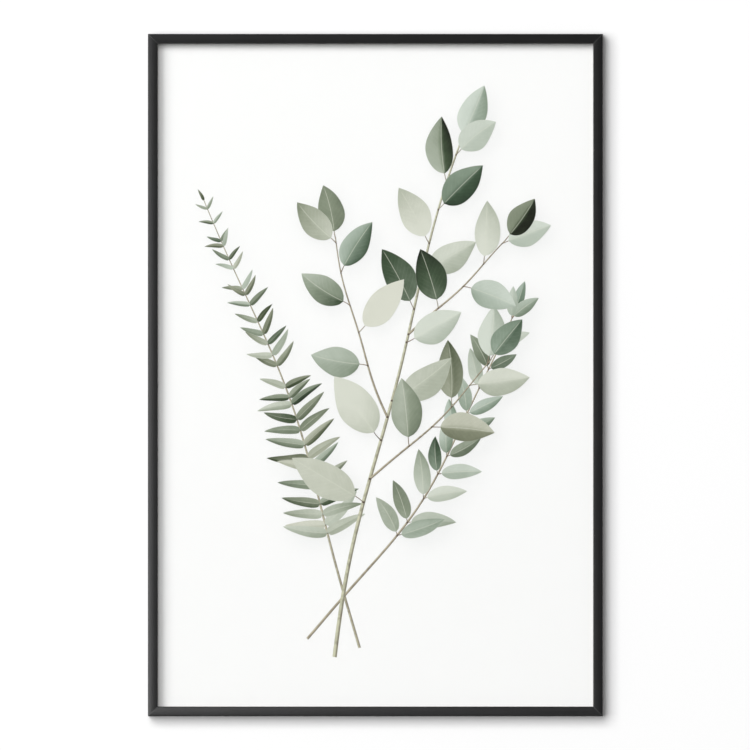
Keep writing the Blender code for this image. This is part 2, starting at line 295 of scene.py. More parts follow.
@dataclass(frozen=True)
class SatinPaint:
    """Satin black paint on the moulding, with bare fibreboard where the paint stops."""

    paint: Colour = (0.0058, 0.0058, 0.0061)
    bare: Colour = (0.36, 0.25, 0.15)
    rub: Colour = (0.060, 0.057, 0.054)
    # A lighter line along each mitre: partly worn paint, partly a painted highlight on the mitre's edge
    joint: Colour = (0.034, 0.034, 0.034)
    joint_reach: Tuple[float, float] = (0.00025, 0.0008)
    grain_scale: Tuple[float, float, float] = (14.0, 900.0, 900.0)
    grain_depth: float = 0.00004
    sheen: Tuple[float, float] = (0.36, 0.46)
    bare_rough: float = 0.85

    def material(self) -> bpy.types.Material:
        """The finish as a material."""
        surface = Surface("satin_black_paint")
        run = surface.attribute("rail_place").outputs["Vector"]
        along = surface.add("ShaderNodeSeparateXYZ")
        surface.feed(along.inputs[0], run)
        to_mitre = surface.math("SUBTRACT", surface.attribute("reach").outputs["Fac"],
                                surface.math("ABSOLUTE", along.outputs[0]))
        drawn = surface.add("ShaderNodeVectorMath", operation="MULTIPLY")
        surface.feed(drawn.inputs[0], run)
        surface.feed(drawn.inputs[1], self.grain_scale)
        grain = surface.noise(drawn.outputs[0], 1.0, 4.0)
        cloud = surface.noise(surface.place(), 60.0, 3.0)
        speck = surface.noise(surface.place(), 2600.0, 2.0)
        fibre = surface.noise(surface.place(), 1500.0, 4.0, 0.7)
        edge = surface.attribute("edge").outputs["Fac"]
        worn = surface.math("MULTIPLY", edge, surface.band(cloud, 0.56, 0.72))
        paint = surface.blend(surface.band(cloud, 0.3, 0.7), self.paint, [1.25 * c for c in self.paint])
        paint = surface.blend(surface.math("MULTIPLY", worn, 0.6), paint, self.rub)
        # Painted highlight, together with some wear: a thin lighter line along the mitre
        paint = surface.blend(surface.band(to_mitre, *self.joint_reach, 0.8, 0.0), paint, self.joint)
        bare = surface.blend(surface.band(fibre, 0.35, 0.7), [0.72 * c for c in self.bare], self.bare)
        open_grain = surface.attribute("bare").outputs["Fac"]
        feather = surface.math("ADD", open_grain, surface.math("MULTIPLY_ADD", cloud, 0.5, -0.25))
        share = surface.band(feather, 0.42, 0.62)
        surface.set(Base_Color=surface.blend(share, paint, bare))
        rough = surface.blend(share, surface.band(grain, 0.2, 0.8, *self.sheen), [self.bare_rough] * 3)
        surface.set(Roughness=rough, Specular_IOR_Level=0.35)
        height = surface.math("MULTIPLY_ADD", grain, 0.7, surface.math("MULTIPLY", speck, 0.3))
        surface.relief(height, self.grain_depth, 0.35)
        return surface.material


@dataclass(frozen=True)
class ClearAcrylic:
    """Polished clear acrylic, which lets the light through to the print.

    Its front faces shine for both faces of the sheet, and the light goes straight through.
    """

    tint: Colour = (0.995, 0.996, 0.995)
    polish: float = 0.03
    index: float = 1.49

    def material(self) -> bpy.types.Material:
        """The finish as a material."""
        surface = Surface("clear_acrylic")
        surface.tree.nodes.remove(surface.shader)
        clear = surface.add("ShaderNodeBsdfTransparent")
        clear.inputs["Color"].default_value = (*self.tint, 1.0)
        shine = surface.add("ShaderNodeBsdfGlossy")
        haze = surface.noise(surface.place(), 35.0, 3.0)
        surface.feed(shine.inputs["Roughness"], surface.band(haze, 0.3, 0.8, self.polish, 2 * self.polish))
        fresnel = surface.add("ShaderNodeFresnel")
        fresnel.inputs["IOR"].default_value = self.index
        once = fresnel.outputs[0]
        twice = surface.math("DIVIDE", surface.math("MULTIPLY", once, 2.0), surface.math("ADD", once, 1.0))
        behind = surface.add("ShaderNodeNewGeometry").outputs["Backfacing"]
        mix = surface.add("ShaderNodeMixShader")
        surface.feed(mix.inputs[0], surface.math("MULTIPLY", twice, surface.math("SUBTRACT", 1.0, behind)))
        surface.feed(mix.inputs[1], clear.outputs[0])
        surface.feed(mix.inputs[2], shine.outputs[0])
        surface.feed(surface.output.inputs["Surface"], mix.outputs[0])
        return surface.material


@dataclass(frozen=True)
class PosterPaper:
    """Matt white poster paper, with the faint printed shade that the design casts on it."""

    white: Colour = (0.90, 0.90, 0.895)
    shade: Colour = (0.745, 0.755, 0.750)
    tooth_depth: float = 0.00002

    def tone(self, surface: Surface) -> Socket:
        """The paper's colour with its fine mottling.

        Args:
            surface: the material it is worked out in.

        Returns:
            The colour.
        """
        fleck = surface.noise(surface.place(), 900.0, 3.0)
        return surface.blend(surface.band(fleck, 0.3, 0.8, 0.0, 0.5), self.white,
                             [0.985 * c for c in self.white])

    def material(self) -> bpy.types.Material:
        """The finish as a material."""
        surface = Surface("poster_paper")
        cast = surface.attribute("cast").outputs["Fac"]
        surface.set(Base_Color=surface.blend(cast, self.tone(surface), self.shade), Roughness=0.62,
                    Specular_IOR_Level=0.35)
        surface.relief(surface.noise(surface.place(), 3200.0, 3.0), self.tooth_depth, 0.3)
        return surface.material


@dataclass(frozen=True)
class LeafInk:
    """The printed leaves: grey-green to sea-green, nearly black in their deepest shade, with pale ribs."""

    warm: Tuple[Colour, ...] = ((0.009, 0.011, 0.004), (0.062, 0.078, 0.036), (0.261, 0.276, 0.193),
                                (0.475, 0.486, 0.392), (0.669, 0.669, 0.579))
    cool: Tuple[Colour, ...] = ((0.007, 0.012, 0.007), (0.045, 0.084, 0.049), (0.217, 0.288, 0.220),
                                (0.412, 0.486, 0.418), (0.598, 0.663, 0.600))
    rib: Colour = (0.640, 0.660, 0.560)
    edge: Colour = (0.690, 0.700, 0.630)
    places: Tuple[float, ...] = (0.0, 0.22, 0.5, 0.75, 1.0)
    vein_pitch: float = 0.0046
    vein_slant: float = 1.1
    rib_width: Tuple[float, float] = (0.00012, 0.00036)
    rim_width: Tuple[float, float] = (0.00005, 0.00032)

    def material(self) -> bpy.types.Material:
        """The finish as a material."""
        surface = Surface("leaf_ink")
        shade, hue, rib, run, gap = (
            surface.attribute(name).outputs["Fac"] for name in ("shade", "hue", "rib", "run", "gap"))
        cloud = surface.noise(surface.place(), 110.0, 4.0, 0.6)
        fleck = surface.noise(surface.place(), 1500.0, 3.0, 0.6)
        tone = surface.math("ADD", shade, surface.math("MULTIPLY_ADD", cloud, 0.16, -0.08))
        tone = surface.math("ADD", tone, surface.math("MULTIPLY_ADD", fleck, 0.05, -0.025))
        off = surface.math("ABSOLUTE", rib)
        slant = surface.math("MULTIPLY_ADD", off, -self.vein_slant, run)
        slant = surface.math("MULTIPLY_ADD", cloud, 0.002, slant)
        ripple = surface.math("SINE", surface.math("MULTIPLY", slant, 2 * math.pi / self.vein_pitch))
        vein = surface.math("MULTIPLY", surface.band(ripple, 0.86, 1.0), surface.band(gap, 0.0008, 0.0030))
        tone = surface.math("MULTIPLY_ADD", vein, 0.045, tone, clamp=True)
        colour = surface.blend(hue, surface.ramp(tone, tuple(zip(self.places, self.warm))),
                               surface.ramp(tone, tuple(zip(self.places, self.cool))))
        midrib = surface.math("MULTIPLY", surface.band(off, *self.rib_width, 1.0, 0.0),
                              surface.band(gap, 0.0006, 0.0060, 0.0, 0.62))
        colour = surface.blend(midrib, colour, self.rib)
        rim = surface.band(gap, *self.rim_width, 0.40, 0.0)
        surface.set(Base_Color=surface.blend(rim, colour, self.edge), Roughness=0.60, Specular_IOR_Level=0.35)
        return surface.material


@dataclass(frozen=True)
class StemInk:
    """The printed stems: pale green at the foot, tan to brown in the fine twigs, shaded as round."""

    pale: Colour = (0.610, 0.610, 0.450)
    tan: Colour = (0.400, 0.310, 0.235)
    dark: Colour = (0.060, 0.042, 0.032)
    ring_rate: float = 260.0

    def material(self) -> bpy.types.Material:
        """The finish as a material."""
        surface = Surface("stem_ink")
        shade, hue, run = (surface.attribute(name).outputs["Fac"] for name in ("shade", "hue", "run"))
        streak = surface.noise(surface.place(), 300.0, 4.0)
        colour = surface.blend(surface.band(hue, 0.0, 0.7), self.pale, self.tan)
        colour = surface.blend(surface.band(hue, 0.6, 1.0, 0.0, 0.85), colour, self.dark)
        rings = surface.math("MULTIPLY_ADD", streak, 8.0, surface.math("MULTIPLY", run, self.ring_rate))
        ring = surface.band(surface.math("SINE", rings), 0.3, 1.0, 0.0, 0.16)
        colour = surface.blend(ring, colour, self.dark)
        colour = surface.blend(surface.band(streak, 0.42, 0.75, 0.0, 0.40), colour, self.dark)
        colour = surface.blend(surface.band(shade, 0.25, 0.85, 0.62, 0.0), colour, self.dark)
        surface.set(Base_Color=colour, Roughness=0.60, Specular_IOR_Level=0.35)
        return surface.material


@dataclass(frozen=True)
class Hardboard:
    """Brown hardboard with pressed fibres and the print of its screen."""

    dark: Colour = (0.125, 0.070, 0.036)
    light: Colour = (0.270, 0.165, 0.090)
    mesh_pitch: float = 0.0016
    fibre_depth: float = 0.00012

    def material(self) -> bpy.types.Material:
        """The finish as a material."""
        surface = Surface("hardboard")
        fibre = surface.noise(surface.place((1, 1, 0.35)), 700.0, 6.0, 0.7)
        wisp = surface.noise(surface.place((0.3, 1, 1)), 240.0, 5.0, 0.65)
        cloud = surface.noise(surface.place(), 9.0, 3.0)
        tone = surface.math("MULTIPLY_ADD", fibre, 0.5, surface.math("MULTIPLY", wisp, 0.35))
        tone = surface.math("ADD", tone, surface.math("MULTIPLY", cloud, 0.2))
        colour = surface.ramp(surface.band(tone, 0.35, 0.72), ((0.0, self.dark), (1.0, self.light)))
        surface.set(Base_Color=colour, Roughness=surface.band(fibre, 0.3, 0.7, 0.62, 0.82))
        place = surface.add("ShaderNodeSeparateXYZ")
        surface.feed(place.inputs[0], surface.place())
        turn = 2 * math.pi / self.mesh_pitch
        across, upward = (surface.math("SINE", surface.math("MULTIPLY", place.outputs[axis], turn))
                          for axis in (0, 2))
        weave = surface.math("MULTIPLY", across, upward)
        surface.relief(surface.math("MULTIPLY_ADD", weave, 0.25, fibre), self.fibre_depth, 0.5)
        return surface.material


class Metal(Enum):
    """The metals of the fixings: colour and roughness."""

    NAIL_STEEL = ((0.40, 0.40, 0.41), 0.36)
    TAB_STEEL = ((0.34, 0.34, 0.35), 0.40)
    ZINC_PLATE = ((0.60, 0.61, 0.63), 0.28)


@dataclass(frozen=True)
class RolledMetal:
    """Sheet metal with rolling lines, stains and dull patches."""

    metal: Metal
    dulling: float = 0.62
    added_rough: float = 0.18
    line_depth: float = 0.00002

    def material(self) -> bpy.types.Material:
        """The finish as a material."""
        colour, rough = self.metal.value
        surface = Surface(self.metal.name.lower())
        lines = surface.noise(surface.place((0.08, 1, 1)), 5200.0, 3.0)
        stain = surface.noise(surface.place(), 420.0, 4.0, 0.6)
        dull = [self.dulling * c for c in colour]
        surface.set(Base_Color=surface.blend(surface.band(stain, 0.4, 0.75), colour, dull), Metallic=1.0,
                    Roughness=surface.band(stain, 0.3, 0.8, rough, rough + self.added_rough))
        surface.relief(lines, self.line_depth, 0.4)
        return surface.material


def add_object(name: str, data: bpy.types.ID) -> bpy.types.Object:
    """Put a new object in the scene.

    Args:
        name: its name.
        data: its mesh, lamp or camera.

    Returns:
        The object.
    """
    piece = bpy.data.objects.new(name, data)
    bpy.context.scene.collection.objects.link(piece)
    return piece


def store_values(mesh: bpy.types.Mesh, name: str, values: Sequence[float], domain: str = "POINT") -> None:
    """Store one number for each point or face of a mesh.

    Args:
        mesh: the mesh.
        name: the name that the numbers get.
        values: the numbers.
        domain: POINT or FACE.
    """
    mesh.attributes.new(name, "FLOAT", domain).data.foreach_set("value", values)


def refined_copy(node: str, name: str, smooth_angle: float = SMOOTH_ANGLE) -> bpy.types.Object:
    """Copy a solid with its triangles joined, ready to be dressed.

    Args:
        node: the solid's name.
        name: the new piece's name.
        smooth_angle: edges flatter than this are shaded smooth.

    Returns:
        The new piece, which isn't riding on anything yet.
    """
    mesh = frame["nodes"][node].data.copy()
    mesh.name = name
    if "custom_normal" in mesh.attributes:
        mesh.attributes.remove(mesh.attributes["custom_normal"])
    work = bmesh.new()
    work.from_mesh(mesh)
    bmesh.ops.remove_doubles(work, verts=work.verts, dist=MERGE)
    bmesh.ops.dissolve_limit(work, angle_limit=FLAT_ANGLE, verts=work.verts, edges=work.edges)
    work.to_mesh(mesh)
    work.free()
    mesh.materials.clear()
    mesh.shade_smooth()
    mesh.set_sharp_from_angle(angle=smooth_angle)
    return add_object(name, mesh)


def soften(piece: bpy.types.Object, width: float, segments: int = 2) -> None:
    """Round a piece's sharp edges.

    Args:
        piece: the piece.
        width: the rounding's width.
        segments: its steps.
    """
    bevel = piece.modifiers.new("softened_edges", "BEVEL")
    bevel.width = width
    bevel.segments = segments
    bevel.limit_method = "ANGLE"
    bevel.angle_limit = SOFTENED_ANGLE
    bevel.harden_normals = True


def seat(piece: bpy.types.Object, material: bpy.types.Material, slot: str, *nodes: str) -> None:
    """Dress a piece and put it in the place of the solids that it stands for.

    Args:
        piece: the piece.
        material: its finish.
        slot: not used.
        nodes: the solids that it replaces.
    """
    piece.data.materials.clear()
    piece.data.materials.append(material)
    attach(piece, BODY)
    if nodes:
        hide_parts(*nodes)
    LOG.info("%s: %d faces", piece.name, len(piece.data.polygons))


@dataclass
class Moulding:
    """The four rails and the nails across their mitres."""

    edge_reach: float = 0.0009
    edge_softening: float = 0.00012
    mitre_cut: float = 0.0003
    mitre_gap: float = 0.00001
    smooth_angle: float = math.radians(30)
    back_margin: float = 0.0001
    rebate_depth: float = 0.0079
    rebate_inset: float = 0.001
    corners: Tuple[str, ...] = ("top_left", "top_right", "bottom_right", "bottom_left")

    def rail_places(self, side: str, points: np.ndarray) -> np.ndarray:
        """Give points from one side of the frame.

        Args:
            side: the side's name.
            points: places in the frame, one a row.

        Returns:
            For each point: along the side from its middle, inward from its outer edge, back from the front.
        """
        low, high = CAD_BOX
        inward = {
            "left": points[:, 0] - low.x,
            "right": high.x - points[:, 0],
            "top": high.z - points[:, 2],
            "bottom": points[:, 2] - low.z,
        }[side]
        along = points[:, 2] - MIDDLE.z if side in UPRIGHT_SIDES else points[:, 0] - MIDDLE.x
        return np.stack([along, inward, points[:, 1] - FRONT], axis=1)

    def close_mitres(self, piece: bpy.types.Object, side: str) -> None:
        """Bring a rail's cut ends up to the diagonals, so that its mitres shut.

        Args:
            piece: the rail.
            side: the side's name.
        """
        low, high = CAD_BOX
        upright = side in UPRIGHT_SIDES
        half = (high.z - low.z if upright else high.x - low.x) / 2
        for vertex in piece.data.vertices:
            along, inward, _ = self.rail_places(side, np.array([vertex.co]))[0]
            short = half - inward - abs(along)
            if short < self.mitre_cut:
                shift = math.copysign(short - self.mitre_gap, along)
                vertex.co += Vector((0, 0, shift)) if upright else Vector((shift, 0, 0))

    def mark(self, piece: bpy.types.Object, side: str) -> None:
        """Store where each point lies on its rail, where its edges are worn and where the wood is bare.

        Args:
            piece: the rail.
            side: the side's name.
        """
        mesh = piece.data
        points = np.zeros(len(mesh.vertices) * 3, np.float32)
        mesh.vertices.foreach_get("co", points)
        places = self.rail_places(side, points.reshape(-1, 3).astype(float))
        mesh.attributes.new("rail_place", "FLOAT_VECTOR", "POINT").data.foreach_set(
            "vector", places.astype(np.float32).ravel())
        store_values(mesh, "reach", (np.abs(places[:, 0]).max() - places[:, 1]).astype(np.float32))
        face, depth = places[:, 1].max(), places[:, 2].max()
        near_edge = np.minimum(places[:, 1], face - places[:, 1]) + places[:, 2]
        store_values(mesh, "edge", np.clip(1 - near_edge / self.edge_reach, 0, 1).astype(np.float32))
        centres = self.rail_places(side, np.array([polygon.center for polygon in mesh.polygons]))
        behind = centres[:, 2] > depth - self.back_margin
        rebate = (centres[:, 2] > self.rebate_depth) & (centres[:, 1] > self.rebate_inset)
        store_values(mesh, "bare", (behind | rebate).astype(np.float32), "FACE")

    def build(self) -> None:
        """Make the rails and dress the nails."""
        paint = SatinPaint().material()
        for side in SIDES:
            rail = refined_copy(f"rail_{side}", f"{RAIL}_{side}", self.smooth_angle)
            self.close_mitres(rail, side)
            self.mark(rail, side)
            soften(rail, self.edge_softening)
            seat(rail, paint, "moulding_black", f"rail_{side}")
        steel = RolledMetal(Metal.NAIL_STEEL).material()
        for corner in self.corners:
            nail = refined_copy(f"corner_nail_{corner}", f"{NAIL}_{corner}")
            seat(nail, steel, "fixing_steel", f"corner_nail_{corner}")


@dataclass
class Stroke:
    """One printed shape: a strip bent along an arc, with its outline and the light that falls on it.

    Lengths are in metres and places count from the frame's middle. Angles are in radians, from +X towards +Z.
    The outline's half width grows as share ** base and shrinks as (1 - share) ** tip, so both are 0 on a
    stem. The middle line sways to either side by up to sway, swing radians over its length. Roll, fold, cup,
    pitch and curl tilt the shape's surface under the printed light.
    """

    x: float
    z: float
    turn: float
    length: float
    half: float
    bend: float = 0.0
    base: float = 0.0
    tip: float = 0.0
    taper: float = 0.0
    near: float = 1.0
    far: float = 1.0
    roll: float = 0.0
    fold: float = 0.0
    cup: float = 0.0
    pitch: float = 0.0
    curl: float = 0.0
    sway: float = 0.0
    swing: float = 0.0
    wave: float = 0.0
    tone: float = 0.5
    hue: float = 0.0
    seed: float = 0.0
    depth: float = 0.0

    def heading(self, share: float) -> float:
        """The direction of the middle line at a share of the length."""
        return self.turn + self.bend * share

    def place(self, share: float) -> Tuple[float, float]:
        """The middle line's place at a share of the length."""
        half_turn = self.bend * share / 2
        chord = self.length * share * (1 - half_turn * half_turn / 6)
        off = self.sway * math.sin(self.swing * share)
        heading = self.heading(share)
        return (self.x + chord * math.cos(self.turn + half_turn) - off * math.sin(heading),
                self.z + chord * math.sin(self.turn + half_turn) + off * math.cos(heading))

    def half_width(self, share: float) -> float:
        """Half of the width at a share of the length."""
        return self.half * share ** self.base * (1 - share) ** self.tip * (1 - self.taper * share)


@dataclass
class Habit:
    """How the leaves of a plant look and stand."""

    long: float
    wide: float
    base: float = 0.75
    tip: float = 0.95
    stalk: float = 0.007
    stand: Tuple[float, float] = (58.0, 30.0)
    tones: Tuple[float, ...] = (0.80, 0.58, 0.50, 0.36)
    hues: Tuple[float, float] = (0.0, 0.9)
    roll: float = 0.55
    fold: float = 0.30
    paired: bool = False


@dataclass
class BotanicalDesign:
    """The printed design: stems, twigs and leaves, each one laid over those that it crosses.

    Args:
        seed: the seed of its irregularities.
    """

    seed: int
    cell: float = 0.002
    thinnest: float = 0.0006
    stalk_half: float = 0.00042
    shortest_stalk: float = 0.001
    joint_length: float = 0.0018
    shade_shares: Tuple[float, ...] = (0.2, 0.5, 0.8)

    def __post_init__(self) -> None:
        """Start with a blank sheet."""
        self.chance = random.Random(self.seed)
        self.order = random.Random(self.seed + 1)
        self.waiting_joints: List[Stroke] = []
        self.waiting_blades: List[Stroke] = []
        self.leaves: List[Stroke] = []
        self.stems: List[Stroke] = []
        self.levels: Dict[Tuple[int, int], int] = {}

    def cells(self, stroke: Stroke) -> Set[Tuple[int, int]]:
        """The cells of the sheet that a stroke covers."""
        steps = max(2, int(stroke.length / self.cell))
        covered = set()
        for step in range(steps + 1):
            share = step / steps
            x, z = stroke.place(share)
            heading = stroke.heading(share)
            wide = stroke.half_width(share) + self.thinnest
            ranks = max(1, int(2 * wide / self.cell))
            for rank in range(ranks + 1):
                off = wide * (2 * rank / ranks - 1)
                covered.add((round((x - off * math.sin(heading)) / self.cell),
                             round((z + off * math.cos(heading)) / self.cell)))
        return covered

    def lay(self, stroke: Stroke, on: List[Stroke]) -> Stroke:
        """Add a stroke over all that it crosses.

        Args:
            stroke: the stroke.
            on: the list that it joins.

        Returns:
            The stroke, with its depth set to the number of its level.
        """
        covered = self.cells(stroke)
        level = 1 + max((self.levels.get(cell, 0) for cell in covered), default=0)
        stroke.depth = float(level)
        for cell in covered:
            self.levels[cell] = level
        on.append(stroke)
        return stroke

    def stem(self, x: float, z: float, turn: float, length: float, wide: float, bend: float, hue: float,
             taper: float = 0.6) -> Stroke:
        """Lay a stem.

        Args:
            x: its foot's place to the right.
            z: its foot's place upwards.
            turn: its direction there, in degrees.
            length: its length.
            wide: its width at the foot.
            bend: how far it turns over its length, in degrees.
            hue: 0 for pale green, 1 for dark brown.
            taper: the share of its width that it loses.

        Returns:
            The stem.
        """
        return self.lay(Stroke(
            x, z, math.radians(turn), length, wide / 2, bend=math.radians(bend), taper=taper, cup=1.25,
            sway=length * 0.006, swing=self.chance.uniform(7, 11), tone=0.68, hue=hue, wave=0.06,
            seed=self.chance.uniform(0, 6)), self.stems)

    def leaf(self, x: float, z: float, turn: float, habit: Habit, size: float, stalk_hue: float) -> None:
        """Add a leaf with its stalk.

        Args:
            x: where the stalk starts, to the right.
            z: where it starts, upwards.
            turn: its direction, in radians.
            habit: how the plant's leaves look.
            size: this leaf's size beside the habit's.
            stalk_hue: the stalk's hue.
        """
        chance = self.chance
        swing = chance.uniform(-0.25, 0.25)
        stalk = Stroke(x, z, turn - swing / 2, habit.stalk * size, self.stalk_half, bend=swing, taper=0.25,
                       cup=1.2, tone=0.55, hue=stalk_hue)
        roll = chance.uniform(-habit.roll, habit.roll)
        fold = chance.uniform(0.2, 1.0) * habit.fold
        pitch = chance.uniform(-0.5, 0.5)
        tone = chance.choice(habit.tones) + chance.uniform(-0.05, 0.05)
        length = habit.long * size * math.cos(pitch)
        peak_at = habit.base / (habit.base + habit.tip)
        peak = peak_at ** habit.base * (1 - peak_at) ** habit.tip
        foot = stalk.place(1.0)
        blade = Stroke(
            foot[0], foot[1], stalk.heading(1.0), length, habit.wide * size / 2 / peak,
            bend=chance.uniform(-0.35, 0.35), base=habit.base, tip=habit.tip, near=math.cos(roll + fold),
            far=math.cos(roll - fold), roll=roll, fold=fold, cup=chance.uniform(-0.15, 0.35),
            pitch=pitch * 0.6, curl=chance.uniform(-0.7, 0.7), wave=0.03, tone=tone,
            hue=chance.uniform(*habit.hues), seed=chance.uniform(0, 6))
        if stalk.length > self.shortest_stalk:
            self.waiting_joints.append(stalk)
        self.waiting_blades.append(blade)

    def node(self, x: float, z: float, turn: float, wide: float) -> None:
        """Add the small dark joint that a stalk leaves on its stem."""
        half = self.joint_length / 2
        self.waiting_joints.append(Stroke(
            x - half * math.cos(turn), z - half * math.sin(turn), turn, self.joint_length, wide, base=0.4,
            tip=0.4, cup=1.2, tone=0.45, hue=0.92))

    def settle(self) -> None:
        """Lay a plant's stalks and joints over its stems, and then its leaves in mixed order."""
        for stroke in self.waiting_joints:
            self.lay(stroke, self.stems)
        self.order.shuffle(self.waiting_blades)
        for stroke in self.waiting_blades:
            self.lay(stroke, self.leaves)
        self.waiting_joints, self.waiting_blades = [], []

    def dress(self, stem: Stroke, habit: Habit, count: int, first: float, size: Tuple[float, float],
              bare: Sequence[int] = ()) -> None:
        """Set leaves along a stem and one at its tip.

        Args:
            stem: the stem.
            habit: how the leaves look.
            count: how many places along the stem bear leaves.
            first: the share of the stem's length at which they start.
            size: the size of the first and of the last leaf beside the habit's.
            bare: the numbers of places left without a leaf.
        """
        chance = self.chance
        for number in range(count):
            if number in bare:
                continue
            part = number / max(1, count - 1)
            share = first + (0.97 - first) * part + chance.uniform(-0.012, 0.012)
            x, z = stem.place(share)
            stand = habit.stand[0] + (habit.stand[1] - habit.stand[0]) * part
            sides = (1, -1) if habit.paired else ((1, -1)[number % 2],)
            for side in sides:
                turn = stem.heading(share) + side * math.radians(stand + chance.uniform(-9, 9))
                scale = (size[0] + (size[1] - size[0]) * part) * chance.uniform(0.90, 1.08)
                self.leaf(x, z, turn, habit, scale, chance.uniform(0.25, 0.95))
            self.node(x, z, stem.heading(share), max(self.thinnest, stem.half_width(share) * 1.25))
        x, z = stem.place(0.995)
        self.leaf(x, z, stem.heading(1.0) + chance.uniform(-0.15, 0.15), habit, size[1] * 0.95, 0.5)

    def shade_on(self, xs: np.ndarray, zs: np.ndarray, reach: float,
                 shift: Tuple[float, float]) -> np.ndarray:
        """The faint shade that the design casts on its ground.

        Args:
            xs: places to the right, at which it is wanted.
            zs: places upwards.
            reach: how far it spreads.
            shift: how far it falls to the right and upwards.

        Returns:
            Its strength at each of those places, 0 to 1.
        """
        total = np.zeros(xs.shape)
        for stroke in self.leaves:
            for share in self.shade_shares:
                x, z = stroke.place(share)
                area = stroke.half_width(share) * stroke.length
                spread = (xs - x - shift[0]) ** 2 + (zs - z - shift[1]) ** 2
                total += area * np.exp(-spread / (2 * reach * reach))
        return np.clip(total / (2 * math.pi * reach * reach), 0, 1)

    def compose(self) -> None:
        """Lay a frond at the left, a leafy branch in the middle and a slender one at the right."""
        frond_habit = Habit(0.042, 0.0100, base=0.32, tip=0.80, stalk=0.0, stand=(78.0, 48.0),
                            tones=(0.70, 0.60, 0.50, 0.42), hues=(0.1, 0.7), roll=0.35, fold=0.22,
                            paired=True)
        slender = Habit(0.040, 0.0150, base=0.62, tip=0.95, stalk=0.0035, stand=(52.0, 26.0),
                        tones=(0.86, 0.78, 0.66, 0.54), hues=(0.4, 1.0), roll=0.45, fold=0.22, paired=True)
        broad = Habit(0.061, 0.0335, base=0.68, tip=0.98, stalk=0.009, stand=(60.0, 28.0),
                      tones=(0.93, 0.88, 0.82, 0.70, 0.56, 0.38), hues=(0.0, 0.9), roll=0.6, fold=0.34)
        frond = self.stem(-0.014, -0.240, 103.0, 0.420, 0.0024, 12.0, 0.25, 0.72)
        self.dress(frond, frond_habit, 27, 0.24, (1.0, 0.30))
        self.settle()
        side = self.stem(-0.060, -0.232, 45.0, 0.345, 0.0024, 26.0, 0.35, 0.60)
        self.dress(side, slender, 11, 0.34, (1.0, 0.72))
        self.settle()
        main = self.stem(-0.036, -0.248, 80.0, 0.470, 0.0038, -8.0, 0.0, 0.62)
        for share, lean, length, bend, count in (
                (0.34, -40.0, 0.150, 14.0, 5), (0.46, 36.0, 0.165, -12.0, 5), (0.62, -36.0, 0.120, 10.0, 4)):
            x, z = main.place(share)
            aim = math.degrees(main.heading(share)) + lean
            twig = self.stem(x, z, aim, length, 0.0020, bend, 0.35, 0.55)
            self.dress(twig, broad, count, 0.30, (0.86, 0.74))
            self.node(x, z, main.heading(share), main.half_width(share) * 1.3)
        self.dress(main, broad, 12, 0.30, (1.0, 0.80), bare=(1, 4))
        self.settle()


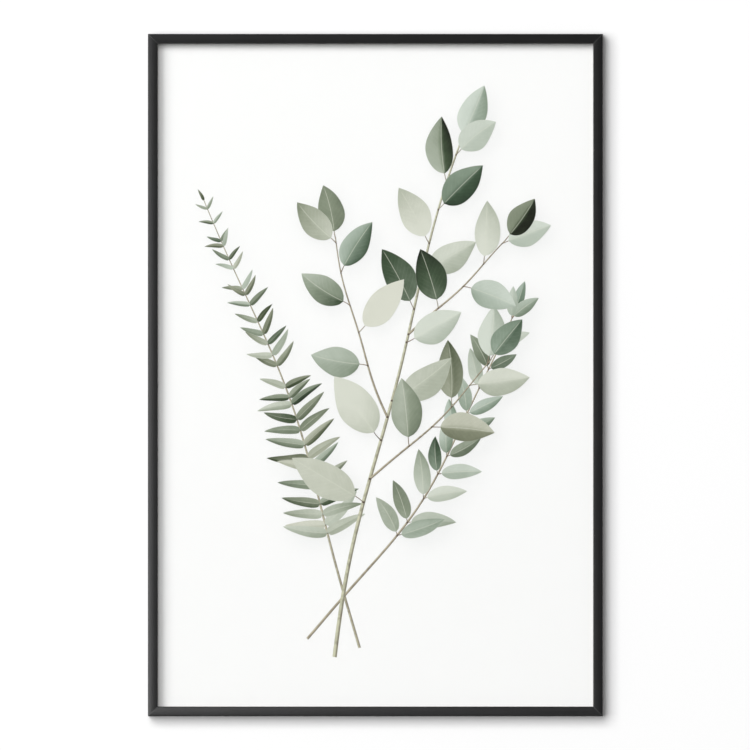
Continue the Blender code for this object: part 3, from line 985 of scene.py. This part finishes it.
@dataclass
class StrokeTree(Board):
    """Geometry Nodes that draw one strip for each point, from the point's own attributes.

    Args:
        light: the way to the printed light, right, up and forwards.
        gain: how much it tells in a stroke's tone.
        waves: how far an outline's ripples run along a stroke, in radians.
        skew: how far the ripples on its two sides are apart.
    """

    light: Tuple[float, float, float] = (-0.45, 0.55, 0.70)
    gain: float = 0.80
    waves: float = 9.0
    skew: float = 1.3

    def __post_init__(self) -> None:
        """Build the tree."""
        super().__init__(bpy.data.node_groups.new("printed_strokes", "GeometryNodeTree"))
        face = self.tree.interface
        for name, kind in (("Points", "NodeSocketGeometry"), ("Along Steps", "NodeSocketInt"),
                           ("Across Steps", "NodeSocketInt"), ("Ink", "NodeSocketMaterial")):
            face.new_socket(name, in_out="INPUT", socket_type=kind)
        face.new_socket("Shapes", in_out="OUTPUT", socket_type="NodeSocketGeometry")
        self.given = self.add("NodeGroupInput")
        self.wire()

    def read(self, name: str) -> Socket:
        """One of the points' attributes."""
        node = self.add("GeometryNodeInputNamedAttribute", data_type="FLOAT")
        self.feed(node.inputs["Name"], name)
        return node.outputs["Attribute"]

    def store(self, shapes: Socket, name: str, value: Socket) -> Socket:
        """Keep a value on the shapes under a name."""
        node = self.add("GeometryNodeStoreNamedAttribute", data_type="FLOAT", domain="POINT")
        self.feed(node.inputs["Geometry"], shapes)
        self.feed(node.inputs["Name"], name)
        self.feed(node.inputs["Value"], value)
        return node.outputs[0]

    def strips(self) -> Socket:
        """A strip on each point, with its own places along and across it."""
        grid = self.add("GeometryNodeMeshGrid")
        self.feed(grid.inputs["Size X"], 1.0)
        self.feed(grid.inputs["Size Y"], 2.0)
        self.feed(grid.inputs["Vertices X"], self.given.outputs["Along Steps"])
        self.feed(grid.inputs["Vertices Y"], self.given.outputs["Across Steps"])
        place = self.add("ShaderNodeSeparateXYZ")
        self.feed(place.inputs[0], self.add("GeometryNodeInputPosition").outputs[0])
        strip = self.store(grid.outputs["Mesh"], "share", self.math("ADD", place.outputs[0], 0.5))
        strip = self.store(strip, "across", place.outputs[1])
        spread = self.add("GeometryNodeInstanceOnPoints")
        self.feed(spread.inputs["Points"], self.given.outputs["Points"])
        self.feed(spread.inputs["Instance"], strip)
        real = self.add("GeometryNodeRealizeInstances")
        self.feed(real.inputs[0], spread.outputs[0])
        return real.outputs[0]

    def half_width(self, share: Socket, across: Socket) -> Socket:
        """Half of a stroke's width, on the side where a point lies.

        Args:
            share: the point's share of the length.
            across: its place across, from -1 to 1.

        Returns:
            The half width.
        """
        do = self.math
        rest = do("SUBTRACT", 1.0, share, clamp=True)
        outline = do("MULTIPLY", do("POWER", share, self.read("base")), do("POWER", rest, self.read("tip")))
        outline = do("MULTIPLY", outline, do("SUBTRACT", 1.0, do("MULTIPLY", self.read("taper"), share)))
        ripple = do("SINE", do("MULTIPLY_ADD", share, self.waves,
                               do("MULTIPLY_ADD", across, self.skew, self.read("seed"))))
        outline = do("MULTIPLY", outline, do("MULTIPLY_ADD", self.read("wave"), ripple, 1.0))
        left = do("GREATER_THAN", across, 0.0)
        side = do("MULTIPLY_ADD", do("SUBTRACT", 1.0, left), self.read("far"),
                  do("MULTIPLY", left, self.read("near")))
        return do("MULTIPLY", do("MULTIPLY", outline, self.read("half")), side)

    def bent_place(self, share: Socket, rib: Socket, east: Socket, north: Socket) -> Socket:
        """A point's place on the sheet, along its stroke's arc.

        Args:
            share: the point's share of the length.
            rib: how far it lies off the middle line.
            east: how far the stroke heads to the right there.
            north: how far it heads upwards there.

        Returns:
            The place.
        """
        do = self.math
        half_turn = do("MULTIPLY", do("MULTIPLY", self.read("bend"), share), 0.5)
        chord = do("MULTIPLY", do("MULTIPLY", self.read("length"), share),
                   do("MULTIPLY_ADD", do("MULTIPLY", half_turn, half_turn), -1 / 6, 1.0))
        aim = do("ADD", self.read("turn"), half_turn)
        swing = do("SINE", do("MULTIPLY", self.read("swing"), share))
        off = do("MULTIPLY_ADD", self.read("sway"), swing, rib)
        middle_x = do("MULTIPLY_ADD", chord, do("COSINE", aim), self.read("x"))
        middle_z = do("MULTIPLY_ADD", chord, do("SINE", aim), self.read("z"))
        place = self.add("ShaderNodeCombineXYZ")
        self.feed(place.inputs[0], do("SUBTRACT", middle_x, do("MULTIPLY", north, off)))
        self.feed(place.inputs[1], self.read("depth"))
        self.feed(place.inputs[2], do("ADD", middle_z, do("MULTIPLY", east, off)))
        return place.outputs[0]

    def shade(self, share: Socket, across: Socket, east: Socket, north: Socket) -> Socket:
        """A point's tone under the printed light, by the tilt of the shape there.

        Args:
            share: the point's share of the length.
            across: its place across, from -1 to 1.
            east: how far the stroke heads to the right there.
            north: how far it heads upwards there.

        Returns:
            The tone, 0 to 1.
        """
        do = self.math
        right, up, forwards = self.light
        tilt = do("MULTIPLY_ADD", self.read("cup"), across,
                  do("MULTIPLY_ADD", self.read("fold"), do("SIGN", across), self.read("roll")))
        sideways = do("SINE", tilt)
        lengthways = do("SINE", do("MULTIPLY_ADD", self.read("curl"), do("SUBTRACT", share, 0.5),
                                   self.read("pitch")))
        flat = do("SUBTRACT", do("SUBTRACT", 1.0, do("MULTIPLY", sideways, sideways)),
                  do("MULTIPLY", lengthways, lengthways))
        flat = do("SQRT", do("MAXIMUM", flat, 0.0))
        lit_across = do("SUBTRACT", do("MULTIPLY", east, up), do("MULTIPLY", north, right))
        lit_along = do("ADD", do("MULTIPLY", east, right), do("MULTIPLY", north, up))
        lit = do("MULTIPLY_ADD", sideways, lit_across,
                 do("MULTIPLY_ADD", lengthways, lit_along, do("MULTIPLY", flat, forwards)))
        return do("MULTIPLY_ADD", do("SUBTRACT", lit, forwards), self.gain, self.read("tone"), clamp=True)

    def wire(self) -> None:
        """Bend each strip along its arc, give it its outline and store what its ink reads."""
        do = self.math
        share, across = self.read("share"), self.read("across")
        heading = do("MULTIPLY_ADD", self.read("bend"), share, self.read("turn"))
        east, north = do("COSINE", heading), do("SINE", heading)
        half = self.half_width(share, across)
        rib = do("MULTIPLY", across, half)
        shapes = self.strips()
        for name, value in (("rib", rib),
                            ("gap", do("MULTIPLY", half, do("SUBTRACT", 1.0, do("ABSOLUTE", across)))),
                            ("shade", self.shade(share, across, east, north)),
                            ("run", do("MULTIPLY", self.read("length"), share))):
            shapes = self.store(shapes, name, value)
        moved = self.add("GeometryNodeSetPosition")
        self.feed(moved.inputs["Geometry"], shapes)
        self.feed(moved.inputs["Position"], self.bent_place(share, rib, east, north))
        inked = self.add("GeometryNodeSetMaterial")
        self.feed(inked.inputs["Geometry"], moved.outputs[0])
        self.feed(inked.inputs["Material"], self.given.outputs["Ink"])
        self.feed(self.add("NodeGroupOutput").inputs[0], inked.outputs[0])

    def draw(self, name: str, strokes: Sequence[Stroke], steps: Tuple[int, int],
             ink: bpy.types.Material) -> bpy.types.Object:
        """Draw strokes as one flat piece.

        Args:
            name: the piece's name.
            strokes: the strokes, placed in the frame, with their depths along Y.
            steps: points along and across each one.
            ink: the finish.

        Returns:
            The piece, as a plain mesh.
        """
        mesh = bpy.data.meshes.new(name)
        mesh.from_pydata([(stroke.x, stroke.depth, stroke.z) for stroke in strokes], [], [])
        for each in fields(Stroke):
            store_values(mesh, each.name, [getattr(stroke, each.name) for stroke in strokes])
        piece = add_object(name, mesh)
        modifier = piece.modifiers.new("strokes", "NODES")
        modifier.node_group = self.tree
        given = {"Along Steps": steps[0], "Across Steps": steps[1], "Ink": ink}
        for item in self.tree.interface.items_tree:
            if item.name in given:
                modifier[item.identifier] = given[item.name]
        graph = bpy.context.evaluated_depsgraph_get()
        drawn = bpy.data.meshes.new_from_object(piece.evaluated_get(graph), preserve_all_data_layers=True,
                                                depsgraph=graph)
        piece.modifiers.clear()
        piece.data = drawn
        drawn.name = name
        bpy.data.meshes.remove(mesh)
        for each in fields(Stroke):
            if each.name != "hue" and each.name in drawn.attributes:
                drawn.attributes.remove(drawn.attributes[each.name])
        return piece


@dataclass
class GlazedPicture:
    """The acrylic sheet, and behind it the paper with its printed design."""

    seed: int = 11
    ground_pitch: float = 0.004
    ink_room: float = 0.00026
    shade_reach: float = 0.009
    shade_shift: Tuple[float, float] = (0.004, -0.005)
    shade_strength: float = 0.34
    leaf_steps: Tuple[int, int] = (25, 9)
    stem_steps: Tuple[int, int] = (40, 5)

    def sheet(self, node: str, design: BotanicalDesign) -> bpy.types.Object:
        """The paper, a closed slab whose front carries the design's faint shade.

        Args:
            node: the solid that it takes its size from.
            design: the printed design.

        Returns:
            The piece.
        """
        points = np.array([vertex.co for vertex in frame["nodes"][node].data.vertices])
        low, high = points.min(axis=0), points.max(axis=0)
        counts = [max(2, round((high[axis] - low[axis]) / self.ground_pitch)) + 1 for axis in (0, 2)]
        xs, zs = np.meshgrid(np.linspace(low[0], high[0], counts[0]), np.linspace(low[2], high[2], counts[1]))
        wide, tall = counts
        spots = [(x, low[1], z) for x, z in zip(xs.ravel(), zs.ravel())]
        # The front's outer points, once round, to close the slab with its edges and its back
        rim = [*range(wide), *(row * wide + wide - 1 for row in range(1, tall)),
               *((tall - 1) * wide + column for column in range(wide - 2, -1, -1)),
               *(row * wide for row in range(tall - 2, 0, -1))]
        faces = [(row * wide + column, row * wide + column + 1, (row + 1) * wide + column + 1,
                  (row + 1) * wide + column) for row in range(tall - 1) for column in range(wide - 1)]
        behind = len(spots)
        spots += [(spots[index][0], high[1], spots[index][2]) for index in rim]
        count = len(rim)
        faces += [(rim[(step + 1) % count], rim[step], behind + step, behind + (step + 1) % count)
                  for step in range(count)]
        faces.append(tuple(behind + step for step in reversed(range(count))))
        mesh = bpy.data.meshes.new(PAPER)
        mesh.from_pydata(spots, [], faces)
        cast = np.zeros(len(spots), np.float32)
        shade = design.shade_on(xs - MIDDLE.x, zs - MIDDLE.z, self.shade_reach, self.shade_shift)
        cast[:behind] = np.clip(shade * self.shade_strength, 0, 1).ravel()
        store_values(mesh, "cast", cast)
        return add_object(PAPER, mesh)

    def build(self) -> None:
        """Make the glazing, the paper and the printed design."""
        design = BotanicalDesign(self.seed)
        design.compose()
        glazing = refined_copy("glazing_sheet", GLAZING)
        seat(glazing, ClearAcrylic().material(), "glazing_clear", "glazing_sheet")
        paper = self.sheet("print_sheet", design)
        seat(paper, PosterPaper().material(), "print_paper", "print_sheet")
        face = min(vertex.co.y for vertex in paper.data.vertices)
        strokes = design.leaves + design.stems
        levels = max(stroke.depth for stroke in strokes)
        LOG.info("printed design: %d leaves, %d stems, %d levels", len(design.leaves), len(design.stems),
                 levels)
        for stroke in strokes:
            stroke.x += MIDDLE.x
            stroke.z += MIDDLE.z
            stroke.depth = face - self.ink_room * stroke.depth / levels
        tree = StrokeTree()
        for name, drawn, steps, ink in ((LEAVES, design.leaves, self.leaf_steps, LeafInk().material()),
                                        (STEMS, design.stems, self.stem_steps, StemInk().material())):
            seat(tree.draw(name, drawn, steps, ink), ink, "print_paper")


@dataclass
class BackFixings:
    """The hardboard behind the print, the bent tabs that hold it and the two sawtooth hangers."""

    tabs: Tuple[Tuple[str, int], ...] = (("left", 4), ("top", 3), ("right", 4), ("bottom", 3))
    hangers: Tuple[str, ...] = ("portrait", "landscape")
    tab_softening: float = 0.00010
    hanger_softening: float = 0.00008

    def fixing(self, node: str, name: str, softening: float, material: bpy.types.Material, slot: str) -> None:
        """Dress one fixing.

        Args:
            node: its solid.
            name: the new piece's name.
            softening: the width of its rounded edges.
            material: its finish.
            slot: the record's slot for that finish.
        """
        piece = refined_copy(node, name)
        soften(piece, softening)
        seat(piece, material, slot, node)

    def build(self) -> None:
        """Dress the board, the tabs, the hangers and their rivets."""
        board = refined_copy("backing_board", "board")
        seat(board, Hardboard().material(), "hardboard_brown", "backing_board")
        steel = RolledMetal(Metal.TAB_STEEL).material()
        for side, count in self.tabs:
            for number in range(1, count + 1):
                self.fixing(f"tab_{side}_{number}", f"{TAB}_{side}_{number}", self.tab_softening, steel,
                            "fixing_steel")
        zinc = RolledMetal(Metal.ZINC_PLATE).material()
        for hanger in self.hangers:
            self.fixing(f"hanger_{hanger}", f"{HANGER}_{hanger}", self.hanger_softening, zinc, "hanger_zinc")
            for end in ("a", "b"):
                self.fixing(f"rivet_{hanger}_{end}", f"{RIVET}_{hanger}_{end}", self.hanger_softening, zinc,
                            "hanger_zinc")


@dataclass(frozen=True)
class Lamp:
    """A soft rectangular lamp that points at the middle of the frame.

    With glare it shines in glossy surfaces and with flood it lights matt ones. Where the starts of some
    pieces' names are given as only, it lights just those pieces. It lights none whose name starts as spared
    says. Its place counts from the frame's middle, and its radiance is what it shows, seen head on.
    """

    name: str
    place: Tuple[float, float, float]
    wide: float
    tall: float
    radiance: float
    glare: bool = True
    flood: bool = True
    only: Tuple[str, ...] = ()
    spared: Tuple[str, ...] = ()

    def hang(self, aim: Vector) -> None:
        """Put the lamp in the scene.

        Args:
            aim: the place that it points at, from which its own place is measured.
        """
        data = bpy.data.lights.new(self.name, "AREA")
        data.shape = "RECTANGLE"
        data.size = self.wide
        data.size_y = self.tall
        data.energy = self.radiance * math.pi * self.wide * self.tall
        lamp = add_object(self.name, data)
        lamp.location = aim + Vector(self.place)
        lamp.rotation_euler = (-Vector(self.place)).to_track_quat("-Z", "Y").to_euler()
        lamp.visible_camera = False
        lamp.visible_glossy = self.glare
        lamp.visible_diffuse = self.flood

    def keep_to_pieces(self) -> None:
        """Let the lamp light just the pieces that it is meant for."""
        lit = bpy.data.collections.new(f"lit_by_{self.name}")
        for piece in bpy.data.objects:
            if piece.name.startswith(self.only or "") and not piece.name.startswith(self.spared):
                lit.objects.link(piece)
        bpy.data.objects[self.name].light_linking.receiver_collection = lit


@dataclass
class Studio:
    """The wall, the floor, the lamps and the camera."""

    photo_pixels: float = 750.0
    frame_pixels: float = 455.0
    centre_pixel: Tuple[float, float] = (375.46, 375.13)
    camera_distance: float = 12.0
    sensor: float = 36.0
    view_reach: float = 60.0
    floor_drop: float = 0.60
    wall_half_width: float = 3.0
    wall_height: float = 3.2
    wall_paint: Tuple[Colour, Colour] = ((0.845, 0.845, 0.845), (0.865, 0.865, 0.865))
    floor_paint: Tuple[Colour, Colour] = ((0.80, 0.80, 0.79), (0.84, 0.84, 0.83))
    sky_light: float = 0.125
    sky_seen: float = 0.80
    lamps: Tuple[Lamp, ...] = (
        # The wall and the print each have lamps of their own, because no one set of lamps casts both the
        # shadow beside the frame and the shadow inside it as the photograph shows them
        Lamp("wall_front", (-0.29, -11.00, 2.30), 2.4, 8.5, 4.3, glare=False, spared=PRINT),
        Lamp("wall_key", (-2.85, -10.63, 2.30), 3.4, 8.5, 9.25, glare=False, spared=PRINT),
        Lamp("wall_side", (-5.99, -9.23, 2.30), 3.4, 8.5, 5.6, glare=False, spared=PRINT),
        Lamp("print_front", (-0.38, -10.99, 3.40), 2.0, 7.5, 11.2, glare=False, only=PRINT),
        Lamp("print_key", (-2.85, -10.63, 3.40), 3.4, 7.5, 3.6, glare=False, only=PRINT),
        Lamp("print_side", (-5.99, -9.23, 3.40), 3.4, 7.5, 8.55, glare=False, only=PRINT),
        Lamp("print_wing", (-8.43, -7.07, 3.40), 3.0, 7.5, 5.35, glare=False, only=PRINT),
        # The sheen along the rails' faces and sides
        Lamp("sheen_sides", (-0.78, -1.15, -0.26), 0.70, 1.30, 7.1, flood=False, only=UPRIGHTS),
        Lamp("sheen_top", (-0.85, -1.15, 0.55), 0.70, 0.90, 6.5, flood=False, only=(f"{RAIL}_top",)),
        Lamp("sheen_bottom", (-0.70, -1.20, 0.00), 0.70, 0.90, 13.0, flood=False, only=(f"{RAIL}_bottom",)),
        Lamp("rim_right", (1.70, 0.35, 0.10), 0.9, 1.4, 2.4, flood=False, only=(RAIL,)),
        Lamp("rim_top", (0.15, 0.35, 1.80), 1.2, 0.9, 2.4, flood=False, only=(RAIL,)),
        Lamp("side_left", (-1.4, 1.6, -0.45), 1.4, 1.4, 1.1, flood=False, only=(RAIL,)),
        Lamp("side_right", (1.4, 1.6, -0.45), 1.4, 1.4, 1.1, flood=False, only=(RAIL,)),
        # Faint reflections in the glazing
        Lamp("window_left", (-2.10, -2.50, 0.90), 1.0, 1.7, 1.3, flood=False, only=(GLAZING,)),
        Lamp("window_right", (2.30, -2.10, 0.70), 1.0, 1.7, 1.3, flood=False, only=(GLAZING,)),
        # The back and the glints on its fixings
        Lamp("back_left", (1.3, 1.7, 0.9), 1.4, 1.4, 6.2, glare=False),
        Lamp("back_right", (-1.4, 1.5, 0.3), 1.4, 1.4, 2.8, glare=False),
        Lamp("glint_left", (1.10, 1.44, 0.76), 1.2, 1.2, 5.4, flood=False, only=FIXINGS),
        Lamp("glint_right", (-1.19, 1.27, 0.25), 1.2, 1.2, 2.6, flood=False, only=FIXINGS),
    )

    def camera(self) -> None:
        """The camera, square to the front."""
        low, high = CAD_BOX
        pixel = (high.x - low.x) / self.frame_pixels
        data = bpy.data.cameras.new("camera")
        data.sensor_width = self.sensor
        data.lens = self.sensor * self.camera_distance / (self.photo_pixels * pixel)
        data.clip_end = self.view_reach
        camera = add_object("camera", data)
        half = self.photo_pixels / 2
        camera.location = (MIDDLE.x - (self.centre_pixel[0] - half) * pixel, FRONT - self.camera_distance,
                           MIDDLE.z + (self.centre_pixel[1] - half) * pixel)
        camera.rotation_euler = (math.pi / 2, 0, 0)
        bpy.context.scene.camera = camera

    def sheet(self, name: str, surface: Surface, corners: Sequence[Sequence[float]]) -> bpy.types.Object:
        """A flat stage piece.

        Args:
            name: its name.
            surface: its finish.
            corners: its corners, anticlockwise as its front is seen.

        Returns:
            The piece.
        """
        mesh = bpy.data.meshes.new(name)
        mesh.from_pydata(corners, [], [tuple(range(len(corners)))])
        mesh.materials.append(surface.material)
        piece = add_object(name, mesh)
        return piece

    def wall(self, level: float) -> None:
        """The wall behind the frame, which shows only from the front.

        Args:
            level: the floor's height.
        """
        paint = Surface("studio_wall")
        grain = paint.noise(paint.place(), 500.0, 3.0)
        paint.set(Base_Color=paint.blend(grain, *self.wall_paint), Roughness=0.9, Specular_IOR_Level=0.1)
        hidden = paint.add("ShaderNodeBsdfTransparent")
        mix = paint.add("ShaderNodeMixShader")
        paint.feed(mix.inputs[0], paint.add("ShaderNodeNewGeometry").outputs["Backfacing"])
        paint.feed(mix.inputs[1], paint.shader.outputs[0])
        paint.feed(mix.inputs[2], hidden.outputs[0])
        paint.feed(paint.output.inputs["Surface"], mix.outputs[0])
        wide, back, top = self.wall_half_width, CAD_BOX[1].y, level + self.wall_height
        wall = self.sheet("studio_wall", paint, (
            (-wide, back, level), (wide, back, level), (wide, back, top), (-wide, back, top)))
        wall.visible_shadow = False
        wall.visible_diffuse = False
        wall.visible_glossy = False

    def floor(self, level: float) -> None:
        """The floor below the frame.

        Args:
            level: its height.
        """
        boards = Surface("studio_floor")
        grain = boards.noise(boards.place(), 300.0, 3.0)
        boards.set(Base_Color=boards.blend(grain, *self.floor_paint), Roughness=0.7)
        wide = self.wall_half_width
        floor = self.sheet("studio_floor", boards, (
            (-wide, -wide, level), (wide, -wide, level), (wide, wide, level), (-wide, wide, level)))
        floor.visible_diffuse = False
        floor.visible_shadow = False

    def sky(self) -> None:
        """An even sky, seen paler than it shines."""
        world = bpy.data.worlds.new("sky")
        world.use_nodes = True
        board = Board(world.node_tree)
        background = world.node_tree.nodes["Background"]
        seen = board.add("ShaderNodeLightPath").outputs["Is Camera Ray"]
        strength = board.math("MULTIPLY_ADD", seen, self.sky_seen - self.sky_light, self.sky_light)
        board.feed(background.inputs["Color"], (1.0, 1.0, 1.0))
        board.feed(background.inputs["Strength"], strength)
        bpy.context.scene.world = world
        bpy.context.scene.view_settings.view_transform = "Standard"

    def build(self) -> None:
        """Set up the studio."""
        self.camera()
        level = CAD_BOX[0].z - self.floor_drop
        self.wall(level)
        self.floor(level)
        self.sky()
        for lamp in self.lamps:
            lamp.hang(MIDDLE)

    def assign_lamps(self) -> None:
        """Keep the lamps that are meant for some pieces to those, once they are there."""
        for lamp in self.lamps:
            if lamp.only or lamp.spared:
                lamp.keep_to_pieces()


def main() -> None:
    """Build everything in order."""
    logging.basicConfig(level=logging.INFO)
    studio = Studio()
    studio.build()
    Moulding().build()
    GlazedPicture().build()
    BackFixings().build()
    studio.assign_lamps()


if __name__ == "__main__":
    main()
